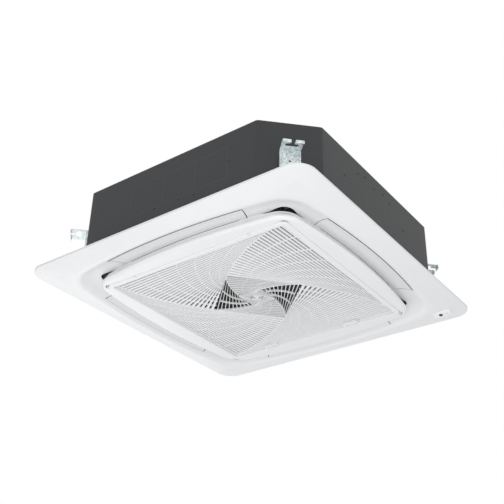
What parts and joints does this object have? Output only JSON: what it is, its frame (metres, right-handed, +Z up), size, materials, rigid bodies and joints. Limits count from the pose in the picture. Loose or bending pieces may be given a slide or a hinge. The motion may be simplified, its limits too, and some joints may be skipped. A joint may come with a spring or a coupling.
{
  "type": "ceiling cassette air conditioner",
  "caption": "Four-way ceiling cassette indoor unit: grey sheet-metal body with hanger brackets over a square white panel with swinging louvers and a drop-down whirl-pattern intake grille.",
  "frame": {"origin": "centre of the panel in the plane of the finished ceiling, at the back of the panel's rim", "axes": "+Z up into the ceiling, -Y towards the band where a badge place is left bare, +X to its right seen from above"},
  "size_m": [0.95, 0.955, 0.266],
  "materials": {
    "panel_white": "satin moulded plastic",
    "grille_white": "fine moulded fins",
    "casing_grey": "satin dark grey paint",
    "zinc_steel": "zinc plated sheet",
    "screw_steel": "plated screws",
    "foam_black": "closed-cell foam",
    "foam_white": "moulded foam",
    "duct_black": "moulded plastic",
    "fan_plastic": "moulded plastic",
    "coil_aluminium": "thin fins",
    "copper": "drawn copper tube",
    "nut_brass": "turned brass",
    "rubber_black": "soft rubber",
    "board_green": "coated board",
    "filter_grey": "fine net",
    "drain_grey": "moulded pipe",
    "lens_black": "dark window",
    "lens_green": "small lamp window"
  },
  "bodies": {
    "unit": {"side_casing": "casing_grey", "top_plate": "casing_grey", "foam_liner": "foam_black", "drain_pan": "foam_white", "bell_mouth": "duct_black", "bell_plate": "duct_black", "coil_fins": "coil_aluminium", "coil_end_plates": "zinc_steel", "coil_tubes": "copper", "motor_plate": "zinc_steel", "motor_bushes": "rubber_black", "fan_motor": "zinc_steel", "control_box": "zinc_steel", "control_box_lid": "zinc_steel", "circuit_board": "board_green", "terminal_block": "lens_black", "drain_pump": "drain_grey", "pump_bracket": "zinc_steel", "float_guide": "drain_grey", "drain_outlet": "drain_grey", "gas_pipe": "copper", "liquid_pipe": "copper", "flare_nuts": "nut_brass", "pipe_plate": "casing_grey", "hanger_front_right": "zinc_steel", "hanger_back_right": "zinc_steel", "hanger_back_left": "zinc_steel", "hanger_front_left": "zinc_steel", "hanger_screws": "screw_steel", "panel_frame": "panel_white", "corner_front_right": "panel_white", "corner_back_right": "panel_white", "corner_back_left": "panel_white", "corner_front_left": "panel_white", "panel_gasket": "foam_black", "panel_screws": "screw_steel", "louver_motor_front": "duct_black", "louver_motor_right": "duct_black", "louver_motor_back": "duct_black", "louver_motor_left": "duct_black", "grille_hinge_pins": "screw_steel", "receiver_housing": "panel_white", "infrared_lens": "lens_black", "indicator_lens": "lens_green"},
    "fan": {"turbo_fan": "fan_plastic", "fan_shroud": "fan_plastic", "fan_shaft": "screw_steel", "fan_nut": "screw_steel"},
    "drain_float": {"drain_float": "foam_white"},
    "grille": {"intake_grille": "grille_white", "filter_frame": "duct_black", "filter_mesh": "filter_grey"},
    "latch_left": {"grille_latch_left": "panel_white"},
    "latch_right": {"grille_latch_right": "panel_white"},
    "louver_front": {"louver_front": "panel_white"},
    "louver_right": {"louver_right": "panel_white"},
    "louver_back": {"louver_back": "panel_white"},
    "louver_left": {"louver_left": "panel_white"}
  },
  "joints": [
    {"name": "fan_spin", "type": "hinge", "parent": "unit", "child": "fan", "pos_m": [0, 0, 0.12], "axis": [0, 0, 1], "continuous": true},
    {"name": "float_rise", "type": "slide", "parent": "unit", "child": "drain_float", "axis": [0, 0, 1], "range_m": [0, 0.02]},
    {"name": "grille_swing", "type": "hinge", "parent": "unit", "child": "grille", "pos_m": [0, -0.3108, -0.029], "axis": [-1, 0, 0], "range_deg": [0, 88]},
    {"name": "latch_left_slide", "type": "slide", "parent": "grille", "child": "latch_left", "axis": [0, -1, 0], "range_m": [0, 0.006], "stiffness_N_per_m": 120},
    {"name": "latch_right_slide", "type": "slide", "parent": "grille", "child": "latch_right", "axis": [0, -1, 0], "range_m": [0, 0.006], "stiffness_N_per_m": 120},
    {"name": "louver_front_swing", "type": "hinge", "parent": "unit", "child": "louver_front", "pos_m": [0, -0.357, 0.008], "axis": [1, 0, 0], "range_deg": [0, 60]},
    {"name": "louver_right_swing", "type": "hinge", "parent": "unit", "child": "louver_right", "pos_m": [0.357, 0, 0.008], "axis": [0, 1, 0], "range_deg": [0, 60]},
    {"name": "louver_back_swing", "type": "hinge", "parent": "unit", "child": "louver_back", "pos_m": [0, 0.357, 0.008], "axis": [-1, 0, 0], "range_deg": [0, 60]},
    {"name": "louver_left_swing", "type": "hinge", "parent": "unit", "child": "louver_left", "pos_m": [-0.357, 0, 0.008], "axis": [0, -1, 0], "range_deg": [0, 60]}
  ]
}
